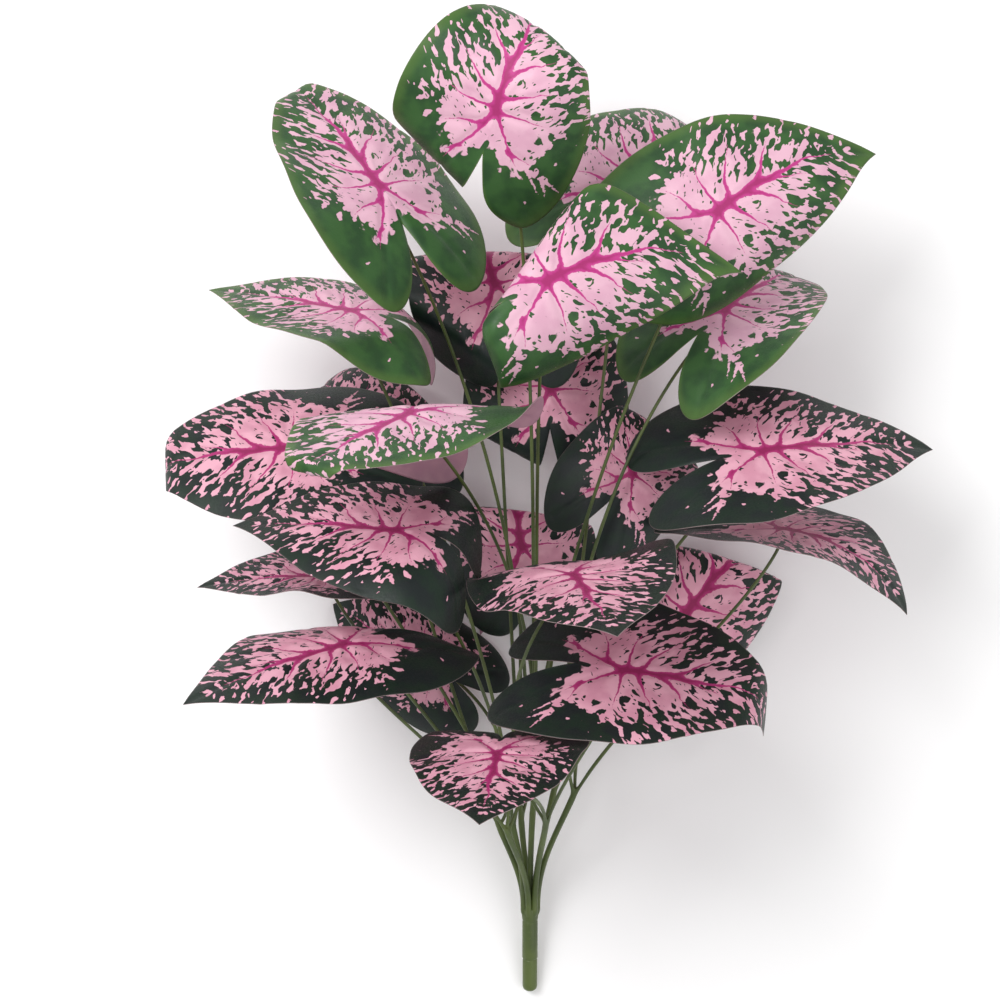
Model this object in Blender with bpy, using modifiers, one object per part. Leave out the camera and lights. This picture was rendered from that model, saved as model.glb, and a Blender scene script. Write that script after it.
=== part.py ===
"""Artificial caladium bush, a bunch without a vase, lying on its back.

A turned handle carries eight moulded forks. Each fork splits into three thin stalks, and each
stalk ends under one leaf of printed cloth, so there are twenty-four leaves. The bunch lies on a
flat surface with its handle toward -Y and its leaves toward +Y, and it rests on the handle's foot
and on the lowest points of the leaves at its back.
"""
import math

import bmesh
import bpy
import numpy as np
from mathutils import Matrix, Vector

MM = 0.001

# Leaf, laid flat: the tip points along +a, and b is the side to its left. The origin is the point
# where the veins meet. All leaves are cut alike, and each has a size of its own.
TIP_LENGTH = 150.0
LOBE_LENGTH = 112.0
HALF_WIDTH = 85.0
CLOTH = 0.8
HALF_OUTLINE = [
    (150, 0), (128, 17), (104, 38), (78, 57), (50, 71), (22, 80), (-8, 85), (-40, 85),
    (-70, 78), (-96, 64), (-111, 48), (-112, 33), (-101, 20), (-82, 10), (-60, 4), (-42, 0),
]
RINGS = (0.26, 0.52, 0.77, 1.0)
WAVE_HEIGHT = 2.0
WAVE_LENGTH = 170.0

# Handle
HANDLE_LENGTH = 76.0
HANDLE_RISE = math.radians(13.0)
HANDLE_SIDES = 20
FOOT_RADIUS = 6.3
FOOT_EDGE = 4.5
HANDLE_PROFILE = [
    (9.6, 76.0), (9.6, 73.5), (7.2, 66.5), (6.6, 64.5), (6.6, 30.5), (5.9, 29.5), (6.3, 28.5),
    (FOOT_RADIUS, FOOT_EDGE), (5.6, 2.0), (3.6, 0.4),
]

# Forks and stalks
STEM_RADIUS = 2.3
STEM_RING = 5.9
STALK_RADIUS = 1.6
STALK_TIP_RADIUS = 1.3
GAP = 0.35
SEAT_GAP = 0.6


class Leaf:
    """Where a leaf sits and how its cloth bends, in millimetres and degrees."""

    def __init__(self, name, place, heading, tilt, tip, base, left, right, size,
                 lean=90, sway=0, rolls=(), bow=(0, 0, 0), rests=False):
        self.name = name
        self.place = np.array(place, float)
        self.heading = heading      # compass heading of the tip before the leaf is tipped over
        self.lean = lean            # compass direction that its face then leans toward
        self.tilt = tilt            # how far it leans
        self.tip = tip              # fall of the tip, of the lobes and of the two sides
        self.base = base
        self.left = left
        self.right = right
        self.size = size
        self.sway = sway            # sideways bow of the midrib
        self.rolls = rolls          # rolled edges: direction, start, radius and angle of each
        self.bow = Vector(bow)      # how its stalk bows out of the straight way
        self.rests = rests          # lowered until it touches the surface


FORKS = {
    "fork_1": dict(seat=206, split=(-28, 149, 40), leaves=[
        Leaf("leaf_11", (-131, 476, 60), 128, 15, 100, 50, 60, 55, 0.78, rests=True, bow=(0, 0, 10)),
        Leaf("leaf_14", (-163, 363, 185), 181, 68, 12, 15, -15, -10, 0.70, bow=(0, 0, -60)),
        Leaf("leaf_16", (-88, 284, 40), 147, 8, 42, 55, 60, 70, 0.70, rests=True,
             bow=(45, 0, -8)),
    ]),
    "fork_2": dict(seat=103, split=(-21, 150, 92), leaves=[
        Leaf("leaf_12", (-95, 490, 280), 230, 65, 8, 10, 5, 20, 0.95,
             rolls=[(-135, 5, 40, 65), (110, 70, -18, 100), (5, 106, 6, 170)],
             bow=(76, 0, -95)),
        Leaf("leaf_13", (-108, 400, 250), 169, 58, 10, 20, 40, 5, 0.87,
             rolls=[(180, 20, 50, 55)], bow=(35, 0, -25)),
        Leaf("leaf_15", (-151, 309, 205), 211, 64, 12, 15, 20, 30, 0.93,
             rolls=[(-135, 25, 40, 90)], bow=(0, 0, -20)),
    ]),
    "fork_3": dict(seat=154, split=(-16, 152, 60), leaves=[
        Leaf("leaf_02", (-122, 674, 195), 117, 44, 20, 35, -8, 25, 0.97, lean=60,
             rolls=[(22, 105, 14, 110)], bow=(75, 0, -20)),
        Leaf("leaf_07", (-146, 576, 165), 155, 62, 5, 20, -5, 25, 0.88,
             rolls=[(-135, 25, 45, 70), (150, 45, 30, 22)], bow=(30, 0, 35)),
        Leaf("leaf_10", (-193, 466, 160), 186, 38, 15, 20, 20, 28, 0.92,
             rolls=[(0, 93, 14, 110)], bow=(0, 0, -40)),
    ]),
    "fork_4": dict(seat=257, split=(-8, 157, 38), leaves=[
        Leaf("leaf_08", (-31, 602, 118), 102, 15, 10, 32, 30, 42, 0.88,
             rolls=[(-12, 16, 15, 75), (130, 50, 14, 50)], bow=(0, 0, 40)),
        Leaf("leaf_09", (16, 517, 80), 90, 8, 80, 52, 15, 45, 0.86, rests=True,
             rolls=[(150, 54, 14, 100)], bow=(30, 0, -42)),
        Leaf("leaf_20", (-8, 385, 70), 97, 5, 40, 65, 62, 50, 0.85, rests=True,
             rolls=[(-15, 18, 13, 165)]),
    ]),
    "fork_5": dict(seat=None, split=(2, 166, 72), leaves=[
        Leaf("leaf_01", (-29, 723, 260), 70, 30, 175, 22, -5, 50, 0.92, lean=235,
             rolls=[(150, 58, 25, 50), (-25, 72, 20, 110)]),
        Leaf("leaf_04", (147, 651, 215), 37, 14, 30, 25, 20, 88, 0.96, sway=-25, bow=(-32, 0, 38)),
        Leaf("leaf_05", (12, 590, 290), 28, 22, 12, 30, -25, 98, 1.0, lean=60, sway=-44,
             rolls=[(118, 9, 14, 90), (172, 50, 14, 90)]),
    ]),
    "fork_6": dict(seat=51, split=(13, 157, 90), leaves=[
        Leaf("leaf_17", (-28, 229, 275), 264, 70, 0, 38, -10, 12, 0.81),
        Leaf("leaf_18", (73, 290, 224), -12, 50, 10, 40, 0, 0, 0.97,
             rolls=[(0, 93, 20, 75)]),
        Leaf("leaf_19", (31, 366, 275), 281, 75, 5, 40, -25, 30, 0.96,
             rolls=[(-100, 70, -25, 60)], bow=(-50, 0, -45)),
    ]),
    "fork_7": dict(seat=309, split=(21, 180, 42), leaves=[
        Leaf("leaf_03", (80, 692, 110), 50, 25, 90, 20, 40, 30, 0.95, rests=True, bow=(-5, 0, 32)),
        Leaf("leaf_21", (83, 446, 133), 53, 15, 60, 30, 35, 78, 0.71,
             rolls=[(0, 40, 12, 165)], bow=(-8, 0, -15)),
        Leaf("leaf_24", (131, 327, 60), 51, 5, 30, 15, 70, 80, 0.97, rests=True,
             rolls=[(22, 46, 12, 165)]),
    ]),
    "fork_8": dict(seat=0, split=(38, 180, 72), leaves=[
        Leaf("leaf_06", (157, 578, 150), 50, 45, 58, 50, 40, -25, 0.9, bow=(-72, 0, 60)),
        Leaf("leaf_22", (186, 463, 183), 12, 50, 25, 36, 2, -3, 0.97, bow=(-42, 10, -58)),
        Leaf("leaf_23", (204, 400, 150), -30, 73, 62, 15, 8, -15, 0.87, bow=(0, 0, 15)),
    ]),
}
GREEN_LEAVES = ("leaf_01", "leaf_02", "leaf_03", "leaf_04", "leaf_05", "leaf_06", "leaf_07",
                "leaf_12")


# The leaf's surface. Its midrib and its sides fall away along curves whose direction turns
# steadily, its edges ripple, and some of its edges roll over.


def leaf_axes(leaf):
    """Unit vectors along the midrib, to the left and out of the face, after the leaf is tipped."""
    lean = math.radians(leaf.lean)
    hinge = Vector((-math.sin(lean), math.cos(lean), 0))
    turn = Matrix.Rotation(math.radians(leaf.tilt), 3, hinge)
    turn = turn @ Matrix.Rotation(math.radians(leaf.heading), 3, "Z")
    return [np.array(turn.col[i]) for i in range(3)]


def reach_and_drop(distance, full, angle, power):
    """How far a bending strip reaches and drops, where its slope grows with a power."""
    steps = (np.arange(24) + 0.5) / 24
    slope = angle[:, None] * (distance[:, None] / full[:, None] * steps) ** power
    return distance * np.cos(slope).mean(1), distance * np.sin(slope).mean(1)


def bend(leaf, flat):
    """Bent places of flat leaf points, an N x 2 array in millimetres at full size."""
    flat = np.asarray(flat, float) * leaf.size
    a, b = flat[:, 0], flat[:, 1]
    size = leaf.size

    full = np.where(a > 0, TIP_LENGTH, LOBE_LENGTH) * size
    fall = np.radians(np.where(a > 0, leaf.tip, leaf.base))
    along, down = reach_and_drop(abs(a), full, fall, 1.35)
    slope = fall * (abs(a) / full) ** 1.35

    half = np.full(len(b), HALF_WIDTH * size)
    side_fall = np.radians(np.where(b > 0, leaf.left, leaf.right))
    across, dip = reach_and_drop(abs(b), half, side_fall, 1.2)
    ripple = WAVE_HEIGHT * (abs(b) / half) ** 1.5
    ripple = ripple * np.sin(math.tau * a / (WAVE_LENGTH * size) + 0.9 * np.sign(b))

    x = along * np.sign(a)
    y = across * np.sign(b)
    y = y + abs(a) * np.sin(0.5 * np.radians(leaf.sway) * (a / (TIP_LENGTH * size)) ** 2 * np.sign(a))
    lift = ripple - dip
    for way, start, radius, most in leaf.rolls:
        way, most = math.radians(way), math.radians(most)
        past = a * math.cos(way) + b * math.sin(way) - start
        angle = np.clip(past / abs(radius), 0, most)
        rest = np.maximum(past - abs(radius) * most, 0)
        shift = abs(radius) * np.sin(angle) + rest * math.cos(most) - np.maximum(past, 0)
        drop = abs(radius) * (1 - np.cos(angle)) + rest * math.sin(most)
        x = x + shift * math.cos(way)
        y = y + shift * math.sin(way)
        lift = lift - drop * math.copysign(1, radius)

    x = x + lift * np.sin(slope) * np.sign(a)
    z = lift * np.cos(slope) - down
    tip_way, left_way, face_way = leaf_axes(leaf)
    return leaf.place + x[:, None] * tip_way + y[:, None] * left_way + z[:, None] * face_way


def whole_outline():
    """The closed outline, from the tip along the left side to the notch and back."""
    right = [(a, -b) for a, b in HALF_OUTLINE[-2:0:-1]]
    return np.array(HALF_OUTLINE + right, float)


# Makers of the solids


def colour(name, rgb, roughness):
    material = bpy.data.materials.new(name)
    material.diffuse_color = (*rgb, 1)
    material.use_nodes = True
    shader = material.node_tree.nodes["Principled BSDF"]
    shader.inputs["Base Color"].default_value = (*rgb, 1)
    shader.inputs["Roughness"].default_value = roughness
    shader.inputs["Metallic"].default_value = 0.0
    return material


def add_object(name, data, collection, material):
    body = bpy.data.objects.new(name, data)
    collection.objects.link(body)
    data.materials.append(material)
    return body


def make_leaf(leaf, collection, material):
    """A fan round the vein point, with rings out to the edge, bent and given its thickness."""
    outline = whole_outline()
    sheet = bmesh.new()
    bmesh.ops.create_circle(sheet, cap_ends=True, cap_tris=True, radius=1, segments=len(outline))
    centre = [v for v in sheet.verts if v.co.length < 0.5]
    ring = sorted((v for v in sheet.verts if v.co.length > 0.5),
                  key=lambda v: math.atan2(v.co.y, v.co.x) % math.tau)
    flat = {centre[0]: (0, 0)}
    for share in RINGS:
        if share != RINGS[0]:
            edges = [sheet.edges.get((ring[i - 1], ring[i])) for i in range(len(ring))]
            made = bmesh.ops.extrude_edge_only(sheet, edges=edges)["geom"]
            fresh = [v for v in made if isinstance(v, bmesh.types.BMVert)]
            ring = [min(fresh, key=lambda n: (n.co - v.co).length) for v in ring]
        for vert, point in zip(ring, outline):
            flat[vert] = tuple(point * share)
        scale = 1 + RINGS.index(share)
        for vert in ring:
            vert.co = vert.co.normalized() * scale
    places = bend(leaf, list(flat.values())) * MM
    for vert, place in zip(flat, places):
        vert.co = place
    bmesh.ops.triangulate(sheet, faces=sheet.faces[:])
    bmesh.ops.recalc_face_normals(sheet, faces=sheet.faces[:])
    face_way = Vector(leaf_axes(leaf)[2])
    if sum(face.normal.dot(face_way) for face in sheet.faces) < 0:
        bmesh.ops.reverse_faces(sheet, faces=sheet.faces[:])
    data = bpy.data.meshes.new(leaf.name)
    sheet.to_mesh(data)
    sheet.free()
    body = add_object(leaf.name, data, collection, material)
    cloth = body.modifiers.new("cloth", "SOLIDIFY")
    cloth.thickness = CLOTH * MM
    cloth.offset = -1
    return body


def lay_down(leaf, body):
    """Lowers or lifts a leaf of the back until its lowest point is on the surface."""
    bpy.context.view_layer.update()
    seen = body.evaluated_get(bpy.context.evaluated_depsgraph_get())
    low = min((seen.matrix_world @ v.co).z for v in seen.data.vertices)
    body.data.transform(Matrix.Translation((0, 0, -low)))
    leaf.place[2] -= low / MM


def arc(start, first, last, end, count):
    """Points of a cubic curve from its two ends and its two guide points."""
    points = []
    for i in range(count):
        t = i / (count - 1)
        s = 1 - t
        points.append(start * s ** 3 + first * (3 * s * s * t) + last * (3 * s * t * t)
                      + end * t ** 3)
    return points


def make_tube(name, points, radii, sides, collection, material):
    """A round bar along points as one closed mesh."""
    line = bpy.data.curves.new(name, "CURVE")
    line.dimensions = "3D"
    line.bevel_depth = 1.0
    line.bevel_resolution = (sides - 4) // 2
    line.use_fill_caps = True
    spline = line.splines.new("POLY")
    spline.points.add(len(points) - 1)
    for knot, point, radius in zip(spline.points, points, radii):
        knot.co = (*(point * MM), 1)
        knot.radius = radius * MM
    guide = bpy.data.objects.new(name, line)
    bpy.context.scene.collection.objects.link(guide)
    seen = guide.evaluated_get(bpy.context.evaluated_depsgraph_get())
    data = bpy.data.meshes.new_from_object(seen)
    bpy.data.objects.remove(guide)
    bpy.data.curves.remove(line)
    mesh = bmesh.new()
    mesh.from_mesh(data)
    bmesh.ops.remove_doubles(mesh, verts=mesh.verts[:], dist=0.00001)
    bmesh.ops.recalc_face_normals(mesh, faces=mesh.faces[:])
    mesh.to_mesh(data)
    mesh.free()
    data.name = name
    data.shade_smooth()
    data.set_sharp_from_angle(angle=math.radians(50))
    return add_object(name, data, collection, material)


HANDLE_WAY = Vector((0, math.cos(HANDLE_RISE), math.sin(HANDLE_RISE)))
HANDLE_UP = Vector((0, -math.sin(HANDLE_RISE), math.cos(HANDLE_RISE)))
HANDLE_FOOT = Vector((0, 0, FOOT_RADIUS * math.cos(math.pi / HANDLE_SIDES) * math.cos(HANDLE_RISE)
                      - FOOT_EDGE * math.sin(HANDLE_RISE)))


def make_handle(collection, material):
    """The turned handle: a profile, top to bottom, swept round the handle's axis."""
    data = bpy.data.meshes.new("handle")
    rim = [(r * MM, 0, z * MM) for r, z in HANDLE_PROFILE]
    rim = [(0, 0, HANDLE_PROFILE[0][1] * MM)] + rim + [(0, 0, 0)]
    data.from_pydata(rim, [(i, i + 1) for i in range(len(rim) - 1)], [])
    body = add_object("handle", data, collection, material)
    screw = body.modifiers.new("turned", "SCREW")
    screw.axis = "Z"
    screw.steps = HANDLE_SIDES
    screw.render_steps = HANDLE_SIDES
    screw.use_merge_vertices = True
    screw.merge_threshold = 0.00001
    screw.use_smooth_shade = True
    body.matrix_world = Matrix.Translation(HANDLE_FOOT * MM) @ Matrix((
        (1, 0, 0, 0), (0, HANDLE_UP.y, HANDLE_WAY.y, 0),
        (0, HANDLE_UP.z, HANDLE_WAY.z, 0), (0, 0, 0, 1))) @ Matrix.Rotation(math.pi / HANDLE_SIDES, 4, "Z")
    return body


def stalk_points(leaf, start, way, count):
    """From inside the stem's end to just under the leaf, where its veins meet."""
    face_way = Vector(leaf_axes(leaf)[2])
    end = Vector(leaf.place) - face_way * (CLOTH + SEAT_GAP)
    knee = end - face_way * 5.0
    length = (knee - start).length
    back = (start - knee).normalized()
    under = (back - face_way * 0.9).normalized()
    bow = leaf.bow
    return arc(start, start + way * length * 0.3 + bow, knee + under * length * 0.22 + bow,
               knee, count - 1) + [end]


def make_fork(name, fork, collection, joined, material):
    """A stem out of the handle's end that splits into three stalks, joined as one solid."""
    seat = HANDLE_FOOT + HANDLE_WAY * (HANDLE_LENGTH + GAP)
    if fork["seat"] is not None:
        angle = math.radians(fork["seat"])
        seat += Vector((STEM_RING * math.cos(angle), 0, 0)) + HANDLE_UP * STEM_RING * math.sin(angle)
    split = Vector(fork["split"])
    middle = sum((Vector(leaf.place) for leaf in fork["leaves"]), Vector()) / 3
    ahead = ((middle - split).normalized() + (split - seat).normalized()).normalized()
    reach = (split - seat).length
    points = arc(seat, seat + HANDLE_WAY * reach * 0.35, split - ahead * reach * 0.35, split, 7)
    radii = [STEM_RADIUS] * 5 + [STEM_RADIUS * 1.12, STEM_RADIUS * 1.2]
    body = make_tube(name, points, radii, 8, collection, material)
    for leaf in fork["leaves"]:
        aim = (Vector(leaf.place) - split).normalized()
        way = (ahead * 1.6 + aim).normalized()
        aside = aim - ahead * aim.dot(ahead)
        start = split - ahead * 5.0 + aside.normalized() * 0.8
        stalk = stalk_points(leaf, start, way, 11)
        radii = [STALK_RADIUS + (STALK_TIP_RADIUS - STALK_RADIUS) * i / 10 for i in range(11)]
        make_tube(leaf.name + "_stalk", stalk, radii, 6, joined, material)
    union = body.modifiers.new("stalks", "BOOLEAN")
    union.operation = "UNION"
    union.operand_type = "COLLECTION"
    union.collection = joined
    union.solver = "EXACT"
    bpy.context.view_layer.objects.active = body
    with bpy.context.temp_override(object=body, active_object=body):
        bpy.ops.object.modifier_apply(modifier=union.name)
    for stalk in list(joined.objects):
        bpy.data.objects.remove(stalk)
    return body


def build():
    for thing in list(bpy.data.objects):
        bpy.data.objects.remove(thing)
    bush = bpy.data.collections.new("artificial_caladium_bush")
    joined = bpy.data.collections.new("stalks_to_join")
    bpy.context.scene.collection.children.link(bush)
    bpy.context.scene.collection.children.link(joined)

    plastic = colour("moulded green", (0.10, 0.20, 0.06), 0.5)
    light = colour("printed cloth, light", (0.75, 0.45, 0.55), 0.55)
    dark = colour("printed cloth, dark", (0.55, 0.25, 0.33), 0.5)

    bodies = [make_handle(bush, plastic)]
    for leaf in [leaf for fork in FORKS.values() for leaf in fork["leaves"]]:
        cloth = light if leaf.name in GREEN_LEAVES else dark
        bodies.append(make_leaf(leaf, bush, cloth))
        if leaf.rests:
            lay_down(leaf, bodies[-1])
    for name, fork in FORKS.items():
        bodies.append(make_fork(name, fork, bush, joined, plastic))
    bpy.data.collections.remove(joined)

    # The origin moves to the middle of the footprint, on the surface below the lowest points.
    bpy.context.view_layer.update()
    scene = bpy.context.evaluated_depsgraph_get()
    corners = []
    for body in bodies:
        seen = body.evaluated_get(scene)
        corners += [seen.matrix_world @ v.co for v in seen.data.vertices]
    low = Vector(min(c[i] for c in corners) for i in range(3))
    high = Vector(max(c[i] for c in corners) for i in range(3))
    shift = Vector((-(low.x + high.x) / 2, -(low.y + high.y) / 2, -low.z))
    for body in bodies:
        body.matrix_world = Matrix.Translation(shift) @ body.matrix_world


build()
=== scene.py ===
"""Artificial caladium bush, lying on its back: its looks."""

import math

import bmesh
import bpy
import numpy as np
from mathutils import Matrix, Vector


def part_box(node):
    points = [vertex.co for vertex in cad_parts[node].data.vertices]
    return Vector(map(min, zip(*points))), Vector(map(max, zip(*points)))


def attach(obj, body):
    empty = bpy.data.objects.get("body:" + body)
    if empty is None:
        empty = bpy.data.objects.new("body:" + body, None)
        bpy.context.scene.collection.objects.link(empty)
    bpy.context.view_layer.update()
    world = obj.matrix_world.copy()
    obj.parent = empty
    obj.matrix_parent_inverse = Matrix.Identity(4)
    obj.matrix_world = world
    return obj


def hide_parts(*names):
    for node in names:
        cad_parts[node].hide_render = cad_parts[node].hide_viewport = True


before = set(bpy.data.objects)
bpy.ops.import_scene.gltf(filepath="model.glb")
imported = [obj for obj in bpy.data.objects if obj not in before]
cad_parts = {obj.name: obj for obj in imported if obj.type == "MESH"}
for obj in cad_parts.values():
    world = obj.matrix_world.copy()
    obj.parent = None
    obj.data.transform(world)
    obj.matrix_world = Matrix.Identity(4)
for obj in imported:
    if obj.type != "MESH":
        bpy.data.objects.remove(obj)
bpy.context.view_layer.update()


# Places
# The bunch was laid out in millimetres from the middle of the handle's foot, with the handle along
# +Y and the surface at zero height. The frame keeps the handle, which shows where that point is.

MM = 0.001
FOOT_OVERHANG = 0.41        # how far the raised handle's foot leans back past its middle
handle_low, handle_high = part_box("handle")
FOOT_PLACE = np.array(((handle_low.x + handle_high.x) / 2, handle_low.y + FOOT_OVERHANG * MM, 0.0))


def in_frame(points):
    """Millimetres from the handle's foot, as places in the frame."""
    return np.asarray(points, float) * MM + FOOT_PLACE


# Leaves
# Heart-shaped blades of thin polyester cloth, all cut with one die. A hot press creases their
# veins, and each is then bent its own way. Each one is held at the point where its veins meet.

TIP_LENGTH = 150.0
LOBE_LENGTH = 112.0
HALF_WIDTH = 85.0
CLOTH = 0.4
HALF_OUTLINE = [
    (150, 0), (128, 17), (104, 38), (78, 57), (50, 71), (22, 80), (-8, 85), (-40, 85),
    (-70, 78), (-96, 64), (-111, 48), (-112, 33), (-101, 20), (-82, 10), (-60, 4), (-42, 0),
]
WAVE_HEIGHT = 2.0
WAVE_LENGTH = 170.0
WAVE_SHIFT = 0.9            # radians by which the waves of each side are shifted, to opposite ways
CRIMPS = ((3, 1.0), (5, 1.4), (8, 0.9))     # waves round the margin and their heights
MIDRIB_POWER = 1.35         # how much of a bend is left for the end of the midrib
SIDE_POWER = 1.2
STEPS_PER_SIDE = 5
RINGS = 36
RING_CROWDING = 1.15        # draws the rings together toward the margin
PRINT_UNIT = 100            # millimetres of cloth to one unit of the print's coordinates
SURFACE_GAP = 0.1           # between the surface and a leaf that rests on it


class Leaf:
    """Where a leaf sits and how its cloth bends, in millimetres and degrees."""

    def __init__(self, name, place, heading, tilt, tip, base, left, right, size,
                 lean=90, sway=0, rolls=(), bow=(0, 0, 0), rests=False):
        self.name = name
        self.place = np.array(place, float)
        self.heading = heading      # compass heading of the tip before the leaf is tipped over
        self.lean = lean            # compass direction that its face then leans toward
        self.tilt = tilt            # how far it leans
        self.tip = tip              # fall of the tip, of the lobes and of the two sides
        self.base = base
        self.left = left
        self.right = right
        self.size = size
        self.sway = sway            # sideways bow of the midrib
        self.rolls = rolls          # rolled edges: direction, start, radius and angle of each
        self.bow = Vector(bow)      # how its stalk bows out of the straight way
        self.rests = rests          # lowered until it touches the surface


FORKS = {
    "fork_1": dict(seat=206, split=(-28, 149, 40), leaves=[
        Leaf("leaf_11", (-131, 476, 60), 128, 15, 100, 50, 60, 55, 0.78, rests=True, bow=(0, 0, 10)),
        Leaf("leaf_14", (-163, 363, 185), 181, 68, 12, 15, -15, -10, 0.70, bow=(0, 0, -60)),
        Leaf("leaf_16", (-88, 284, 40), 147, 8, 42, 55, 60, 70, 0.70, rests=True,
             bow=(45, 0, -8)),
    ]),
    "fork_2": dict(seat=103, split=(-21, 150, 92), leaves=[
        Leaf("leaf_12", (-95, 490, 280), 230, 65, 8, 10, 5, 20, 0.95,
             rolls=[(-135, 5, 40, 65), (110, 70, -18, 100), (5, 106, 6, 170)],
             bow=(76, 0, -95)),
        Leaf("leaf_13", (-108, 400, 250), 169, 58, 10, 20, 40, 5, 0.87,
             rolls=[(180, 20, 50, 55)], bow=(35, 0, -25)),
        Leaf("leaf_15", (-151, 309, 205), 211, 64, 12, 15, 20, 30, 0.93,
             rolls=[(-135, 25, 40, 90)], bow=(0, 0, -20)),
    ]),
    "fork_3": dict(seat=154, split=(-16, 152, 60), leaves=[
        Leaf("leaf_02", (-122, 674, 195), 117, 44, 20, 35, -8, 25, 0.97, lean=60,
             rolls=[(22, 105, 14, 110)], bow=(75, 0, -20)),
        Leaf("leaf_07", (-146, 576, 165), 155, 62, 5, 20, -5, 25, 0.88,
             rolls=[(-135, 25, 45, 70), (150, 45, 30, 22)], bow=(30, 0, 35)),
        Leaf("leaf_10", (-193, 466, 160), 186, 38, 15, 20, 20, 28, 0.92,
             rolls=[(0, 93, 14, 110)], bow=(0, 0, -40)),
    ]),
    "fork_4": dict(seat=257, split=(-8, 157, 38), leaves=[
        Leaf("leaf_08", (-31, 602, 118), 102, 15, 10, 32, 30, 42, 0.88,
             rolls=[(-12, 16, 15, 75), (130, 50, 14, 50)], bow=(0, 0, 40)),
        Leaf("leaf_09", (16, 517, 80), 90, 8, 80, 52, 15, 45, 0.86, rests=True,
             rolls=[(150, 54, 14, 100)], bow=(30, 0, -42)),
        Leaf("leaf_20", (-8, 385, 70), 97, 5, 40, 65, 62, 50, 0.85, rests=True,
             rolls=[(-15, 18, 13, 165)]),
    ]),
    "fork_5": dict(seat=None, split=(2, 166, 72), leaves=[
        Leaf("leaf_01", (-29, 723, 260), 70, 30, 175, 22, -5, 50, 0.92, lean=235,
             rolls=[(150, 58, 25, 50), (-25, 72, 20, 110)]),
        Leaf("leaf_04", (147, 651, 215), 37, 14, 30, 25, 20, 88, 0.96, sway=-25, bow=(-32, 0, 38)),
        Leaf("leaf_05", (12, 590, 290), 28, 22, 12, 30, -25, 98, 1.0, lean=60, sway=-44,
             rolls=[(118, 9, 14, 90), (172, 50, 14, 90)]),
    ]),
    "fork_6": dict(seat=51, split=(13, 157, 90), leaves=[
        Leaf("leaf_17", (-28, 229, 275), 264, 70, 0, 38, -10, 12, 0.81),
        Leaf("leaf_18", (73, 290, 224), -12, 50, 10, 40, 0, 0, 0.97,
             rolls=[(0, 93, 20, 75)]),
        Leaf("leaf_19", (31, 366, 275), 281, 75, 5, 40, -25, 30, 0.96,
             rolls=[(-100, 70, -25, 60)], bow=(-50, 0, -45)),
    ]),
    "fork_7": dict(seat=309, split=(21, 180, 42), leaves=[
        Leaf("leaf_03", (80, 692, 110), 50, 25, 90, 20, 40, 30, 0.95, rests=True, bow=(-5, 0, 32)),
        Leaf("leaf_21", (83, 446, 133), 53, 15, 60, 30, 35, 78, 0.71,
             rolls=[(0, 40, 12, 165)], bow=(-8, 0, -15)),
        Leaf("leaf_24", (131, 327, 60), 51, 5, 30, 15, 70, 80, 0.97, rests=True,
             rolls=[(22, 46, 12, 165)]),
    ]),
    "fork_8": dict(seat=0, split=(38, 180, 72), leaves=[
        Leaf("leaf_06", (157, 578, 150), 50, 45, 58, 50, 40, -25, 0.9, bow=(-72, 0, 60)),
        Leaf("leaf_22", (186, 463, 183), 12, 50, 25, 36, 2, -3, 0.97, bow=(-42, 10, -58)),
        Leaf("leaf_23", (204, 400, 150), -30, 73, 62, 15, 8, -15, 0.87, bow=(0, 0, 15)),
    ]),
}
# Leaves given the lit green copy of the print, whose brighter green is painted light, as on the upper
# leaves. The rest get the dark copy, partly the print's own darker tone and partly painted shade.
LIT_GREEN_LEAVES = ("leaf_01", "leaf_02", "leaf_03", "leaf_04", "leaf_05", "leaf_06", "leaf_07",
                "leaf_12")


def smooth_side(knots, steps):
    """A smooth line through the knots of one side of the outline, without its last knot."""
    knots = [Vector(k) for k in knots]
    knots = [knots[0] * 2 - knots[1]] + knots + [knots[-1] * 2 - knots[-2]]
    line = []
    for before, start, end, after in zip(knots, knots[1:], knots[2:], knots[3:]):
        for i in range(steps):
            t = i / steps
            pull = (start * 2 + (end - before) * t
                    + (before * 2 - start * 5 + end * 4 - after) * t ** 2
                    + (start * 3 - before - end * 3 + after) * t ** 3)
            line.append(pull / 2)
    return line


def cut_pattern():
    """The die's flat blade: a grid wrapped round the vein point, with its print coordinates."""
    left = smooth_side(HALF_OUTLINE, STEPS_PER_SIDE)
    notch = Vector(HALF_OUTLINE[-1])
    right = [Vector((p.x, -p.y)) for p in left[::-1]]
    outline = left + [notch] + right
    sheet = bmesh.new()
    bmesh.ops.create_grid(sheet, x_segments=len(outline) - 1, y_segments=RINGS, size=1)
    column_of = {}
    for vert in sheet.verts:
        column = round((vert.co.x + 1) / 2 * (len(outline) - 1))
        share = round((vert.co.y + 1) / 2 * RINGS) / RINGS
        column_of[vert] = (column, 1 - (1 - share) ** RING_CROWDING)
    for vert, (column, share) in column_of.items():
        vert.co = (*(outline[column] * share), share)
    bmesh.ops.remove_doubles(sheet, verts=sheet.verts[:], dist=0.0001)
    print_place = sheet.loops.layers.uv.new("print")
    margin = sheet.verts.layers.float.new("margin")
    for vert in sheet.verts:
        vert[margin] = vert.co.z
        vert.co.z = 0
    for face in sheet.faces:
        for loop in face.loops:
            loop[print_place].uv = loop.vert.co.xy / PRINT_UNIT
    bmesh.ops.recalc_face_normals(sheet, faces=sheet.faces[:])
    if sheet.faces[:][0].normal.z < 0:
        bmesh.ops.reverse_faces(sheet, faces=sheet.faces[:])
    pattern = bpy.data.meshes.new("leaf_pattern")
    sheet.to_mesh(pattern)
    sheet.free()
    pattern.shade_smooth()
    return pattern


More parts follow.
